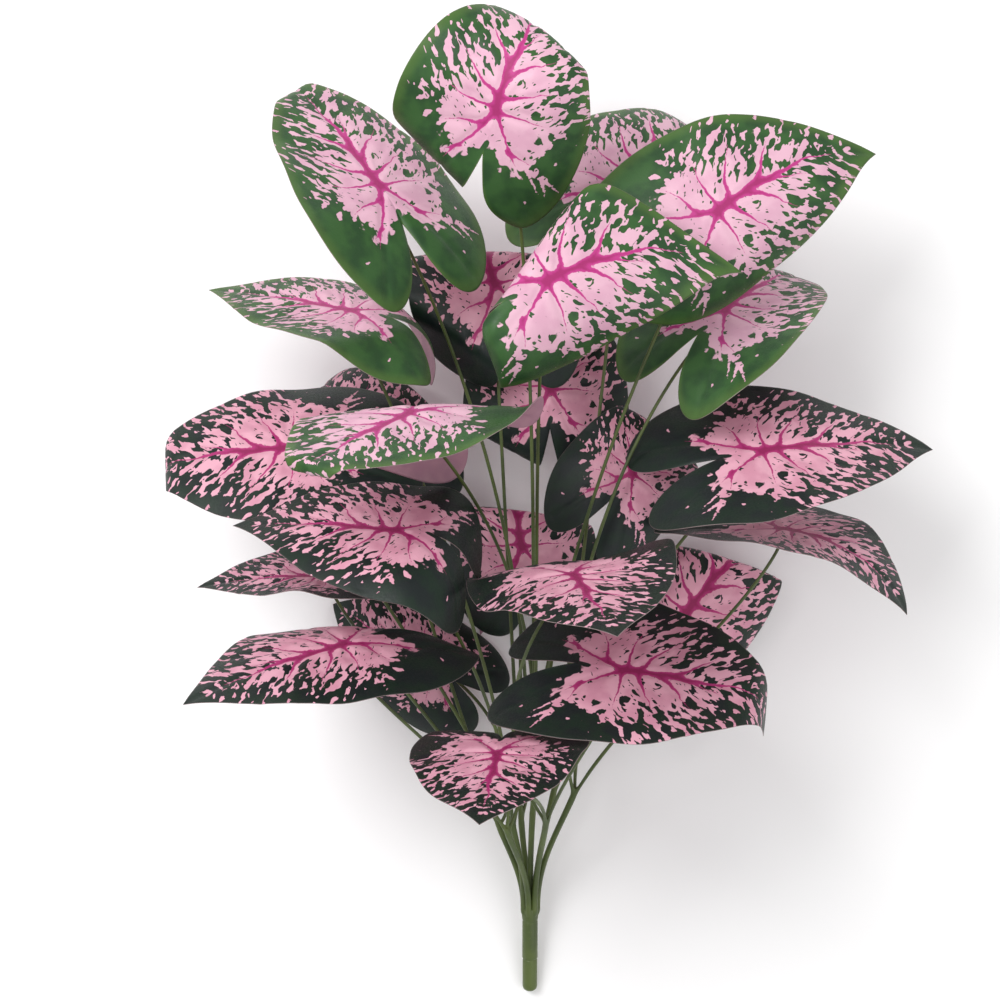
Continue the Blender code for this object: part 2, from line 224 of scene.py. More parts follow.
# Each vein runs from one flat point to another. "out" veins leave the midrib toward an edge, "tip"
# veins run toward the tip and "back" veins toward a lobe. Then come its bulge and its half width.
VEINS = [
    ("tip", (-3, 0), (112, 0), 0, 3.9),
    ("out", (38, 0), (70, 27), 8, 2.2),
    ("out", (9, 0), (41, 43), 10.5, 2.2),
    ("out", (0, 2), (7, 47), 7, 1.8),
    ("out", (-14, 7), (-25, 42), 3.4, 1.6),
    ("back", (0, 0), (-60, 34), 10, 2.4),
    ("out", (-44, 21), (-50, 34), 0, 1.2),
    ("out", (29, 0), (58, -32), 6.6, 2.4),
    ("tip", (41, 0), (80, -12), -4.3, 1.5),
    ("out", (10, 0), (29, -41), 8.4, 2.2),
    ("out", (-1, -2), (-4, -45), 2.2, 1.7),
    ("back", (0, 0), (-46, -30), -7, 2.3),
    ("out", (-34, -20), (-41, -41), 0, 1.2),
]
# Folds that the press sets between the printed veins and out to the margin, given alike.
CREASES = [
    ("tip", (60, 0), (148, 0), 0, 1.4),
    ("out", (70, 20), (98, 40), 0, 0.9), ("out", (62, -20), (92, -42), 0, 0.9),
    ("out", (26, 12), (70, 62), 6, 1.0), ("out", (22, -12), (62, -64), 6, 1.0),
    ("out", (5, 20), (14, 76), 4, 1.0), ("out", (3, -20), (6, -76), 2, 1.0),
    ("back", (-18, 10), (-100, 46), 0, 1.2), ("back", (-18, -10), (-100, -46), 0, 1.2),
]
PRESS_DEPTH = 1.3
CREASE_DEPTH = 1.1
PRESS_WIDTH = 2.9


def line_values(start, end, bulge, half, way):
    """A vein's run along its way, and what it does across that way."""
    along, across = (1, 0) if way == "out" else (0, 1)
    low, high = abs(start[along]), abs(end[along])
    first, last = start[across], end[across]
    if way == "tip":
        low, high = start[along], end[along]
    cosine = (high - low) / math.hypot(high - low, last - first)
    return low, high, first, last - first - bulge, bulge, cosine, half


def inside_line(a, b, way, start, end, bulge, half):
    """How far flat points are inside one vein, in millimetres, below zero outside it."""
    low, high, first, slope, curve, cosine, half = line_values(start, end, bulge, half, way)
    side = 1 if start[1] + end[1] >= 0 else -1
    along = {"out": b * side, "tip": a, "back": -a}[way]
    across = a if way == "out" else b
    held = np.clip(along, low, high)
    t = (held - low) / (high - low)
    aside = abs(across - first - t * (slope + curve * t)) * cosine
    return half * (1 - t) - aside - abs(along - held)


def pressed_relief(flat):
    """How deep the hot press sets the veins and creases into the flat blade."""
    a, b = flat[:, 0], flat[:, 1]
    depth = np.zeros(len(a))
    for table, most in ((VEINS, PRESS_DEPTH), (CREASES, CREASE_DEPTH)):
        for line in table:
            outside = np.maximum(-inside_line(a, b, *line), 0)
            depth = np.maximum(depth, most * np.exp(-(outside / PRESS_WIDTH) ** 2))
    return depth


def leaf_axes(leaf):
    """Unit vectors along the midrib, to the left and out of the face, after the leaf is tipped."""
    lean = math.radians(leaf.lean)
    hinge = Vector((-math.sin(lean), math.cos(lean), 0))
    turn = Matrix.Rotation(math.radians(leaf.tilt), 3, hinge)
    turn = turn @ Matrix.Rotation(math.radians(leaf.heading), 3, "Z")
    return [np.array(turn.col[i]) for i in range(3)]


def reach_and_drop(distance, full, angle, power):
    """How far a bending strip reaches and drops, where its slope grows with a power."""
    steps = (np.arange(24) + 0.5) / 24
    slope = angle[:, None] * (distance[:, None] / full[:, None] * steps) ** power
    return distance * np.cos(slope).mean(1), distance * np.sin(slope).mean(1)


def bend(leaf, flat, margin, relief):
    """Bent places of flat leaf points, an N x 2 array in millimetres at full size."""
    size = leaf.size
    a, b = flat[:, 0] * size, flat[:, 1] * size

    full = np.where(a > 0, TIP_LENGTH, LOBE_LENGTH) * size
    fall = np.radians(np.where(a > 0, leaf.tip, leaf.base))
    along, down = reach_and_drop(abs(a), full, fall, MIDRIB_POWER)
    slope = fall * (abs(a) / full) ** MIDRIB_POWER

    half = np.full(len(b), HALF_WIDTH * size)
    side_fall = np.radians(np.where(b > 0, leaf.left, leaf.right))
    across, dip = reach_and_drop(abs(b), half, side_fall, SIDE_POWER)
    ripple = WAVE_HEIGHT * (abs(b) / half) ** 1.5
    ripple = ripple * np.sin(math.tau * a / (WAVE_LENGTH * size) + WAVE_SHIFT * np.sign(b))
    phases = np.random.default_rng(int(leaf.name[-2:])).uniform(0, math.tau, len(CRIMPS))
    crimp = np.zeros(len(b))
    for (waves, height), phase in zip(CRIMPS, phases):
        crimp += height * margin ** 3 * np.sin(waves * np.arctan2(b, a) + phase)

    x = along * np.sign(a)
    y = across * np.sign(b)
    y = y + abs(a) * np.sin(0.5 * np.radians(leaf.sway) * (a / (TIP_LENGTH * size)) ** 2 * np.sign(a))
    lift = ripple + crimp - dip - relief
    for way, start, radius, most in leaf.rolls:
        way, most = math.radians(way), math.radians(most)
        past = a * math.cos(way) + b * math.sin(way) - start
        angle = np.clip(past / abs(radius), 0, most)
        rest = np.maximum(past - abs(radius) * most, 0)
        shift = abs(radius) * np.sin(angle) + rest * math.cos(most) - np.maximum(past, 0)
        drop = abs(radius) * (1 - np.cos(angle)) + rest * math.sin(most)
        x = x + shift * math.cos(way)
        y = y + shift * math.sin(way)
        lift = lift - drop * math.copysign(1, radius)

    x = x + lift * np.sin(slope) * np.sign(a)
    z = lift * np.cos(slope) - down
    tip_way, left_way, face_way = leaf_axes(leaf)
    return leaf.place + x[:, None] * tip_way + y[:, None] * left_way + z[:, None] * face_way


# Print
# The cloth is dyed through in a dusty pink. On its face a screen prints the green ground, which
# leaves the middle of the blade pink with ragged borders, and the dark pink veins over it.


def put(tree, kind, feeds=None, **settings):
    """Adds a shader node, with settings, and feeds its inputs with values or other outputs."""
    made = tree.nodes.new("ShaderNode" + kind)
    for name, value in settings.items():
        setattr(made, name, value)
    for socket, value in (feeds or {}).items():
        if isinstance(value, bpy.types.NodeSocket):
            tree.links.new(value, made.inputs[socket])
        else:
            made.inputs[socket].default_value = value
    return made


def calc(tree, operation, *values):
    """One step of arithmetic between outputs or numbers."""
    return put(tree, "Math", dict(enumerate(values)), operation=operation).outputs[0]


def ramp(tree, value, low, high, to_low=0.0, to_high=1.0):
    """A soft step of a value from one level to another."""
    feeds = {"Value": value, "From Min": low, "From Max": high, "To Min": to_low, "To Max": to_high}
    return put(tree, "MapRange", feeds, interpolation_type="SMOOTHSTEP").outputs[0]


def grain(tree, vector, detail=2.0, roughness=0.5, distortion=0.0):
    """Cloudy noise over coordinates that are already in the noise's own cells."""
    feeds = {"Vector": vector, "Scale": 1.0, "Detail": detail, "Roughness": roughness,
             "Distortion": distortion}
    return put(tree, "TexNoise", feeds).outputs["Fac"]


def start_group(name, inputs, outputs):
    """An empty shader group with named inputs and outputs."""
    tree = bpy.data.node_groups.new(name, "ShaderNodeTree")
    for label, kind in inputs:
        tree.interface.new_socket(name=label, in_out="INPUT", socket_type="NodeSocket" + kind)
    for label, kind in outputs:
        tree.interface.new_socket(name=label, in_out="OUTPUT", socket_type="NodeSocket" + kind)
    given = tree.nodes.new("NodeGroupInput")
    result = tree.nodes.new("NodeGroupOutput")
    return tree, given.outputs, result.inputs


VEIN_INPUTS = ("From", "To", "Start", "Slope", "Curve", "Cosine", "Half Width")


def vein_group():
    """How far a point is inside one tapering vein, as in inside_line."""
    tree, given, result = start_group(
        "printed vein", [(label, "Float") for label in ("Along", "Across") + VEIN_INPUTS],
        [("Inside", "Float")])
    held = calc(tree, "MAXIMUM", calc(tree, "MINIMUM", given["Along"], given["To"]), given["From"])
    over = calc(tree, "ABSOLUTE", calc(tree, "SUBTRACT", given["Along"], held))
    run = calc(tree, "SUBTRACT", given["To"], given["From"])
    t = calc(tree, "DIVIDE", calc(tree, "SUBTRACT", held, given["From"]), run)
    centre = calc(tree, "MULTIPLY_ADD", given["Curve"], t, given["Slope"])
    centre = calc(tree, "MULTIPLY_ADD", centre, t, given["Start"])
    aside = calc(tree, "ABSOLUTE", calc(tree, "SUBTRACT", given["Across"], centre))
    left = calc(tree, "SUBTRACT", 1.0, t)
    half = calc(tree, "MULTIPLY", given["Half Width"], left)
    aside = calc(tree, "MULTIPLY_ADD", aside, given["Cosine"], over)
    tree.links.new(calc(tree, "SUBTRACT", half, aside), result["Inside"])
    return tree


# Runs and dots of pink that lie in the green of the lobes, given as the veins are.
DRIPS = [
    ("back", (-40, -36), (-68, -55), 0, 2.8),
    ("back", (-50, -55), (-72, -62), 0, 2.4),
    ("back", (-50, -55), (-66, -74), 0, 2.6),
    ("back", (-78, -44), (-80, -45), 0, 1.3),
    ("back", (-70, 52), (-72, 53), 0, 1.4),
]
# How far the pink ground reaches from the vein point and how ragged its border is, by angle from
# the tip in degrees.
PINK_REACH = [(0, 86), (14, 80), (32, 69), (60, 58), (90, 52), (118, 53), (150, 60), (164, 47),
              (180, 28)]
RAGGED = [(0, 400), (30, 360), (62, 290), (95, 180), (125, 80), (180, 35)]
MOST_REACH = 150
MOST_RAGGED = 400
LEFT_LEAN = -0.09           # the pink reaches less far to the left of the midrib
PRINT_SWAY = 9.0            # how far the drawn veins wander, in millimetres
BORDER_SWAY = 30.0          # how far the pink's border wanders
SIDE_VEIN_LEAN = 0.75       # how far the side veins run forward for each step outward
FLECKS = (0.15, 0.115)      # flecks to a millimetre, across the side veins and along them
RAYS = (23.0, 0.1)          # flecks in half a turn, and to a millimetre outward
SPECKS = (0.24, 0.18)       # specks to a millimetre, across the side veins and along them


def by_angle(tree, turn, table, most):
    """A value that changes with the angle from the tip, read off a smooth curve."""
    lookup = put(tree, "FloatCurve", {"Value": turn})
    curve = lookup.mapping.curves[0]
    curve.points[0].location = (0, table[0][1] / most)
    curve.points[1].location = (1, table[-1][1] / most)
    for degrees, value in table[1:-1]:
        curve.points.new(degrees / 180, value / most)
    lookup.mapping.update()
    return calc(tree, "MULTIPLY", lookup.outputs[0], float(most))


def scaled(tree, vector, x, y):
    """Coordinates on the flat cloth, scaled along the midrib and across it."""
    return put(tree, "VectorMath", {0: vector, 1: (x, y, 0)}, operation="MULTIPLY").outputs[0]


def print_group(vein):
    """The printed design: masks for the veins and the pink ground, and soft clouds."""
    tree, given, result = start_group(
        "caladium print", [("Place", "Vector")],
        [("Vein", "Float"), ("Depth", "Float"), ("Pink", "Float"), ("Cloud", "Float")])
    flat = scaled(tree, given["Place"], PRINT_UNIT, PRINT_UNIT)
    sway = put(tree, "TexNoise", {"Vector": scaled(tree, flat, 0.05, 0.05), "Scale": 1.0,
                                  "Detail": 2.0}).outputs["Color"]
    swing = put(tree, "SeparateXYZ", {0: sway}).outputs
    drawn = put(tree, "SeparateXYZ", {0: flat}).outputs
    a = calc(tree, "MULTIPLY_ADD", calc(tree, "SUBTRACT", swing["X"], 0.5), PRINT_SWAY, drawn["X"])
    b = calc(tree, "MULTIPLY_ADD", calc(tree, "SUBTRACT", swing["Y"], 0.5), PRINT_SWAY, drawn["Y"])
    back = calc(tree, "MULTIPLY", a, -1.0)
    right = calc(tree, "MULTIPLY", b, -1.0)

    def lines(table, softness):
        """How far a point is inside the nearest line of a table, with their joints rounded."""
        union = None
        for way, start, end, bulge, half in table:
            line = put(tree, "Group", node_tree=vein)
            outward = b if start[1] + end[1] >= 0 else right
            tree.links.new({"out": outward, "tip": a, "back": back}[way], line.inputs["Along"])
            tree.links.new(a if way == "out" else b, line.inputs["Across"])
            for label, value in zip(VEIN_INPUTS, line_values(start, end, bulge, half, way)):
                line.inputs[label].default_value = value
            inside = line.outputs[0]
            union = inside if union is None else calc(tree, "SMOOTH_MAX", union, inside, softness)
        return union

    rag = grain(tree, scaled(tree, flat, 0.4, 0.4), 2.0)
    inside = calc(tree, "MULTIPLY_ADD", calc(tree, "SUBTRACT", rag, 0.5), 1.5, lines(VEINS, 8.0))
    tree.links.new(ramp(tree, inside, -0.3, 0.35), result["Vein"])
    # Depth darkens the middle of each vein, as painted shade in its pressed groove.
    tree.links.new(ramp(tree, inside, 0.3, 2.8), result["Depth"])

    width = calc(tree, "ABSOLUTE", b)
    reach = calc(tree, "SQRT", calc(tree, "MULTIPLY_ADD", a, a, calc(tree, "MULTIPLY", b, b)))
    turn = calc(tree, "DIVIDE", calc(tree, "ARCTAN2", width, a), math.pi)
    field = calc(tree, "SUBTRACT", by_angle(tree, turn, PINK_REACH, MOST_REACH), reach)

    # The border's flecks are drawn out along the veins: on the tip's side they follow the side
    # veins, and on the lobes' side they leave the vein point like rays.
    skew = calc(tree, "MULTIPLY_ADD", width, -SIDE_VEIN_LEAN, a)
    side = calc(tree, "MULTIPLY", b, 0.02)

    def cells(across, along, counts):
        """Coordinates whose cells are as large as the flecks, and differ between the two sides."""
        return put(tree, "CombineXYZ", {
            "X": calc(tree, "MULTIPLY", across, counts[0]),
            "Y": calc(tree, "MULTIPLY", along, counts[1]), "Z": side}).outputs[0]

    upper = cells(skew, width, FLECKS)
    lower = cells(turn, reach, RAYS)
    flecks = put(tree, "Mix", {
        "Factor": ramp(tree, a, -20.0, 4.0), "A": grain(tree, lower, 2.0, 0.38, 0.25),
        "B": grain(tree, upper, 2.0, 0.38, 0.25)}).outputs[0]
    ragged = by_angle(tree, turn, RAGGED, MOST_RAGGED)
    field = calc(tree, "MULTIPLY_ADD", calc(tree, "SUBTRACT", flecks, 0.5), ragged, field)
    wander = calc(tree, "SUBTRACT", swing["Z"], 0.5)
    field = calc(tree, "MULTIPLY_ADD", wander, BORDER_SWAY, field)
    field = calc(tree, "MULTIPLY_ADD", b, LEFT_LEAN, field)
    drips = calc(tree, "MULTIPLY_ADD", calc(tree, "SUBTRACT", rag, 0.5), 4.0, lines(DRIPS, 0.5))
    pink = calc(tree, "MAXIMUM", ramp(tree, field, -1.2, 1.2), ramp(tree, drips, -0.3, 0.3))
    speck = ramp(tree, grain(tree, cells(skew, width, SPECKS), 1.0), 0.675, 0.70)
    pink = calc(tree, "MULTIPLY", pink, calc(tree, "SUBTRACT", 1.0, speck))
    tree.links.new(pink, result["Pink"])
    tree.links.new(swing["Z"], result["Cloud"])
    return tree


def weave_group():
    """The fine plain weave of the cloth with its uneven threads, as a height."""
    tree, given, result = start_group("cloth weave", [("Place", "Vector")], [("Height", "Float")])
    flat = scaled(tree, given["Place"], PRINT_UNIT, PRINT_UNIT)
    threads = put(tree, "SeparateXYZ", {0: scaled(tree, flat, 9.0, 9.0)}).outputs
    warp = calc(tree, "SINE", threads["X"])
    weft = calc(tree, "SINE", threads["Y"])
    weave = calc(tree, "MULTIPLY", warp, weft)
    uneven = grain(tree, scaled(tree, flat, 0.5, 0.5), 1.0, 0.65)
    height = calc(tree, "MULTIPLY_ADD", weave, 0.12, uneven)
    tree.links.new(height, result["Height"])
    return tree


VEIN_GROUP = vein_group()
PRINT_GROUP = print_group(VEIN_GROUP)
WEAVE_GROUP = weave_group()


def fresh_material(name):
    """A new material with its node tree and its shader."""
    material = bpy.data.materials.new(name)
    material.use_nodes = True
    return material, material.node_tree, material.node_tree.nodes["Principled BSDF"]


def blend(tree, factor, first, second):
    """A colour between two others, each a socket or three numbers."""
    first, second = [colour if isinstance(colour, bpy.types.NodeSocket) else (*colour, 1)
                     for colour in (first, second)]
    made = put(tree, "Mix", {0: factor, 6: first, 7: second}, data_type="RGBA")
    return made.outputs[2]


BARE_THREAD = (0.45, 0.30, 0.32)


def printed_face(name, ground, ground_margin, ground_cloud, pink, pink_cloud, vein, vein_groove_shade):
    """The face of the cloth with the whole print on it, in one set of ink colours; the lit green set
    holds painted light, the dark set partly painted shade, and each vein's middle is darkened as
    painted shade in its pressed groove.
    """
    material, tree, shader = fresh_material(name)
    uv = put(tree, "UVMap", uv_map="print").outputs[0]
    design = put(tree, "Group", node_tree=PRINT_GROUP)
    tree.links.new(uv, design.inputs["Place"])
    weave = put(tree, "Group", node_tree=WEAVE_GROUP)
    tree.links.new(uv, weave.inputs["Place"])
    margin = put(tree, "Attribute", attribute_name="margin").outputs["Fac"]
    patchy = ramp(tree, design.outputs["Cloud"], 0.36, 0.62)
    green = blend(tree, patchy, ground, ground_cloud)
    green = blend(tree, ramp(tree, margin, 0.86, 0.99, 0.0, 0.55), green, ground_margin)
    rose = blend(tree, ramp(tree, design.outputs["Cloud"], 0.4, 0.66), pink, pink_cloud)
    # The middle of each vein is darkened: painted shade in its pressed groove.
    line = blend(tree, design.outputs["Depth"], vein, vein_groove_shade)
    colour = blend(tree, design.outputs["Pink"], green, rose)
    colour = blend(tree, design.outputs["Vein"], colour, line)
    colour = blend(tree, ramp(tree, margin, 0.992, 0.998, 0.0, 0.15), colour, BARE_THREAD)
    tree.links.new(colour, shader.inputs["Base Color"])
    rough = ramp(tree, weave.outputs["Height"], 0.3, 0.7, 0.40, 0.56)
    tree.links.new(rough, shader.inputs["Roughness"])
    woven = put(tree, "Bump", {"Strength": 0.35, "Distance": 0.0003,
                               "Height": weave.outputs["Height"]})
    tree.links.new(woven.outputs[0], shader.inputs["Normal"])
    shader.inputs["Specular IOR Level"].default_value = 0.3
    return material


def cloth_back():
    """The bare back of the cloth, where the print shows through faintly."""
    material, tree, shader = fresh_material("bare cloth back")
    uv = put(tree, "UVMap", uv_map="print").outputs[0]
    design = put(tree, "Group", node_tree=PRINT_GROUP)
    tree.links.new(uv, design.inputs["Place"])
    weave = put(tree, "Group", node_tree=WEAVE_GROUP)
    tree.links.new(uv, weave.inputs["Place"])
    cloud = ramp(tree, design.outputs["Cloud"], 0.36, 0.66)
    dusty = blend(tree, cloud, (0.47, 0.25, 0.33), (0.55, 0.31, 0.38))
    shown = calc(tree, "MULTIPLY", calc(tree, "SUBTRACT", 1.0, design.outputs["Pink"]), 0.22)
    dusty = blend(tree, shown, dusty, (0.22, 0.15, 0.17))
    dusty = blend(tree, calc(tree, "MULTIPLY", design.outputs["Vein"], 0.35), dusty,
                  (0.42, 0.10, 0.24))
    tree.links.new(dusty, shader.inputs["Base Color"])
    tree.links.new(ramp(tree, weave.outputs["Height"], 0.3, 0.7, 0.55, 0.72),
                   shader.inputs["Roughness"])
    woven = put(tree, "Bump", {"Strength": 0.4, "Distance": 0.0003,
                               "Height": weave.outputs["Height"]})
    tree.links.new(woven.outputs[0], shader.inputs["Normal"])
    return material


def cut_edge():
    """The cut edge of the cloth, where pale threads show."""
    material, tree, shader = fresh_material("cut cloth edge")
    uv = put(tree, "UVMap", uv_map="print").outputs[0]
    weave = put(tree, "Group", node_tree=WEAVE_GROUP)
    tree.links.new(uv, weave.inputs["Place"])
    threads = ramp(tree, weave.outputs["Height"], 0.3, 0.7)
    colour = blend(tree, threads, (0.26, 0.19, 0.19), (0.36, 0.27, 0.27))
    tree.links.new(colour, shader.inputs["Base Color"])
    shader.inputs["Roughness"].default_value = 0.7
    return material


# Two copies of one print: the green copy's brighter colours are painted light, and the dark copy's
# darker ground and pinks are partly the print's own tone and partly painted shade.
LIT_GREEN_FACE = printed_face(
    "printed cloth, lit green",
    ground=(0.032, 0.095, 0.024), ground_margin=(0.085, 0.16, 0.032),
    ground_cloud=(0.018, 0.058, 0.018),
    pink=(0.69, 0.41, 0.51), pink_cloud=(0.63, 0.345, 0.455),
    vein=(0.47, 0.040, 0.22), vein_groove_shade=(0.33, 0.022, 0.13))
DARK_AND_SHADED_FACE = printed_face(
    "printed cloth, dark",
    ground=(0.006, 0.011, 0.011), ground_margin=(0.010, 0.020, 0.013),
    ground_cloud=(0.006, 0.018, 0.010),
    pink=(0.70, 0.36, 0.45), pink_cloud=(0.60, 0.27, 0.36),
    vein=(0.40, 0.030, 0.16), vein_groove_shade=(0.26, 0.016, 0.09))
CLOTH_BACK = cloth_back()
CUT_EDGE = cut_edge()

PATTERN = cut_pattern()
FLAT = np.array([v.co.xy for v in PATTERN.vertices])
MARGIN = np.array([d.value for d in PATTERN.attributes["margin"].data])
RELIEF = pressed_relief(FLAT)


def press_leaf(leaf):
    """One blade, bent, given its cloth's thickness and, if it rests, laid on the surface."""
    places = bend(leaf, FLAT, MARGIN, RELIEF)
    if leaf.rests:
        low = places[:, 2].min() - CLOTH - SURFACE_GAP
        places[:, 2] -= low
        leaf.place[2] -= low
    data = PATTERN.copy()
    data.name = leaf.name + "_cloth"
    data.vertices.foreach_set("co", in_frame(places).ravel())
    data.update()
    body = bpy.data.objects.new(leaf.name + "_cloth", data)
    bpy.context.scene.collection.objects.link(body)
    # Lit green copy, with painted light, for the listed leaves; dark copy, partly painted shade, for
    # the rest.
    data.materials.append(LIT_GREEN_FACE if leaf.name in LIT_GREEN_LEAVES else DARK_AND_SHADED_FACE)
    data.materials.append(CLOTH_BACK)
    data.materials.append(CUT_EDGE)
    cloth = body.modifiers.new("cloth", "SOLIDIFY")
    cloth.thickness = CLOTH * MM
    cloth.offset = -1
    cloth.material_offset = 1
    cloth.material_offset_rim = 2
    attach(body, "root")
    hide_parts(leaf.name)


for fork in FORKS.values():
    for leaf in fork["leaves"]:
        press_leaf(leaf)
bpy.data.meshes.remove(PATTERN)


# Forks
# Wire-cored stalks moulded in green plastic. Three of them leave each stem at one moulded joint,
# and the end of each widens into a small plug that is welded under its leaf.

HANDLE_LENGTH = 76.0
HANDLE_RISE = math.radians(13.0)
FOOT_RADIUS = 6.3
FOOT_EDGE = 4.5
FLATS = 20                  # the solid's handle rests on one of its twenty flats
HANDLE_WAY = Vector((0, math.cos(HANDLE_RISE), math.sin(HANDLE_RISE)))
HANDLE_UP = Vector((0, -math.sin(HANDLE_RISE), math.cos(HANDLE_RISE)))
HANDLE_FOOT = Vector((0, 0, FOOT_RADIUS * math.cos(math.pi / FLATS) * math.cos(HANDLE_RISE)
                      - FOOT_EDGE * math.sin(HANDLE_RISE)))
STEM_RADIUS = 2.8
STEM_RING = 5.9
STEM_WAIST = 0.12           # share by which a stem is thinner halfway
RIB_START = 65.5            # where a stem starts to stand out of the handle as a rib
RIB_RING = 3.4
SEAT_DEPTH = 1.0            # how far below the handle's end the stems reach their ring
STALK_RADIUS = 1.6
STALK_TIP_RADIUS = 1.3
PLUG_RADIUS = 3.0
PLUG_LENGTH = 5.0
JOINT_LENGTH = 5.0          # how far the stalks are sunk into their stem
STEM_POINTS = 28
STALK_POINTS = 44
SMOOTHED_ROUND_JOINT = 11.0
SMOOTHING_PASSES = 4


def plastic():
    """Green moulded plastic of a slightly uneven tone, paler in small rubbed spots."""
    material, tree, shader = fresh_material("moulded plastic")
    place = put(tree, "TexCoord").outputs["Object"]
    clouds = put(tree, "TexNoise", {"Vector": place, "Scale": 28.0, "Detail": 4.0}).outputs["Fac"]
    fine = put(tree, "TexNoise", {"Vector": place, "Scale": 420.0, "Detail": 3.0}).outputs["Fac"]
    colour = blend(tree, ramp(tree, clouds, 0.35, 0.65), (0.046, 0.070, 0.014), (0.078, 0.110, 0.022))
    colour = blend(tree, ramp(tree, fine, 0.56, 0.72, 0.0, 0.3), colour, (0.11, 0.15, 0.04))
    tree.links.new(colour, shader.inputs["Base Color"])
    tree.links.new(ramp(tree, fine, 0.3, 0.7, 0.36, 0.55), shader.inputs["Roughness"])
    bump = put(tree, "Bump", {"Strength": 0.3, "Distance": 0.0003, "Height": fine})
    tree.links.new(bump.outputs[0], shader.inputs["Normal"])
    return material


PLASTIC = plastic()


def arc(start, first, last, end, count):
    """Points of a cubic curve from its two ends and its two guide points."""
    points = []
    for i in range(count):
        t = i / (count - 1)
        s = 1 - t
        points.append(start * s ** 3 + first * (3 * s * s * t) + last * (3 * s * t * t)
                      + end * t ** 3)
    return points


def tube(name, points, radii, sides):
    """A round bar along points, as a closed mesh on a new object."""
    line = bpy.data.curves.new(name, "CURVE")
    line.dimensions = "3D"
    line.bevel_depth = 1.0
    line.bevel_resolution = (sides - 4) // 2
    line.use_fill_caps = True
    spline = line.splines.new("POLY")
    spline.points.add(len(points) - 1)
    for knot, point, radius in zip(spline.points, points, radii):
        knot.co = (*in_frame(point), 1)
        knot.radius = radius * MM
    guide = bpy.data.objects.new(name, line)
    bpy.context.scene.collection.objects.link(guide)
    data = bpy.data.meshes.new_from_object(guide.evaluated_get(bpy.context.evaluated_depsgraph_get()))
    bpy.data.objects.remove(guide)
    bpy.data.curves.remove(line)
    mesh = bmesh.new()
    mesh.from_mesh(data)
    bmesh.ops.remove_doubles(mesh, verts=mesh.verts[:], dist=0.00001)
    bmesh.ops.recalc_face_normals(mesh, faces=mesh.faces[:])
    mesh.to_mesh(data)
    mesh.free()
    data.name = name
    body = bpy.data.objects.new(name, data)
    bpy.context.scene.collection.objects.link(body)
    return body


def stalk_line(leaf, start, way):
    """From inside the stem's end to the underside of the leaf, where its veins meet."""
    face_way = Vector(leaf_axes(leaf)[2])
    seat = Vector(leaf.place) - face_way * (PRESS_DEPTH + CLOTH * 0.6)
    end = seat - face_way * 1.0
    knee = end - face_way * PLUG_LENGTH
    length = (knee - start).length
    back = (start - knee).normalized()
    under = (back - face_way * 0.9).normalized()
    points = arc(start, start + way * length * 0.3 + leaf.bow,
                 knee + under * length * 0.22 + leaf.bow, knee, STALK_POINTS)
    radii = list(np.linspace(STALK_RADIUS, STALK_TIP_RADIUS, STALK_POINTS))
    plug = [knee.lerp(end, 0.35), knee.lerp(end, 0.7), end, seat]
    return points + plug, radii + [1.45, 1.9, PLUG_RADIUS * 0.85, PLUG_RADIUS]


def mould_fork(name, fork):
    """One stem with its three stalks, fused and smoothed at their joint."""
    root = HANDLE_FOOT + HANDLE_WAY * RIB_START
    seat = HANDLE_FOOT + HANDLE_WAY * (HANDLE_LENGTH - SEAT_DEPTH)
    if fork["seat"] is not None:
        angle = math.radians(fork["seat"])
        out = Vector((math.cos(angle), 0, 0)) + HANDLE_UP * math.sin(angle)
        root += out * RIB_RING
        seat += out * STEM_RING
    split = Vector(fork["split"])
    middle = sum((Vector(leaf.place) for leaf in fork["leaves"]), Vector()) / 3
    ahead = ((middle - split).normalized() + (split - seat).normalized()).normalized()
    reach = (split - seat).length
    rib = arc(root, root + HANDLE_WAY * 4.0, seat - HANDLE_WAY * 4.0, seat, 7)[:-1]
    points = rib + arc(seat, seat + HANDLE_WAY * reach * 0.35, split - ahead * reach * 0.35,
                       split, STEM_POINTS)
    waist = np.sin(np.linspace(0, math.pi, STEM_POINTS)) * STEM_WAIST
    radii = [STEM_RADIUS] * len(rib) + list(STEM_RADIUS * (1 - waist))
    points.append(split + ahead * 1.2)
    radii.append(STEM_RADIUS * 0.8)
    stem = tube(name + "_stem", points, radii, 16)
    stalks = []
    for leaf in fork["leaves"]:
        aim = (Vector(leaf.place) - split).normalized()
        way = (ahead * 1.6 + aim).normalized()
        aside = aim - ahead * aim.dot(ahead)
        start = split - ahead * JOINT_LENGTH + aside.normalized() * 0.8
        points, radii = stalk_line(leaf, start, way)
        stalks.append(tube(leaf.name + "_stalk", points, radii, 12))
    for stalk in stalks:
        union = stem.modifiers.new("joint", "BOOLEAN")
        union.operation = "UNION"
        union.object = stalk
        union.solver = "EXACT"
        with bpy.context.temp_override(object=stem, active_object=stem):
            bpy.ops.object.modifier_apply(modifier=union.name)
        bpy.data.objects.remove(stalk)
    mesh = bmesh.new()
    mesh.from_mesh(stem.data)
    knuckle = Vector(in_frame(split + ahead * 4.0))
    near = [v for v in mesh.verts if (v.co - knuckle).length < SMOOTHED_ROUND_JOINT * MM]
    for _ in range(SMOOTHING_PASSES):
        bmesh.ops.smooth_vert(mesh, verts=near, factor=0.5, use_axis_x=True, use_axis_y=True,
                              use_axis_z=True)
    mesh.to_mesh(stem.data)
    mesh.free()
    stem.data.materials.clear()
    stem.data.materials.append(PLASTIC)
    stem.data.shade_smooth()
    stem.data.set_sharp_from_angle(angle=math.radians(60))
    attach(stem, "root")
    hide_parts(name)


for name, fork in FORKS.items():
    mould_fork(name, fork)


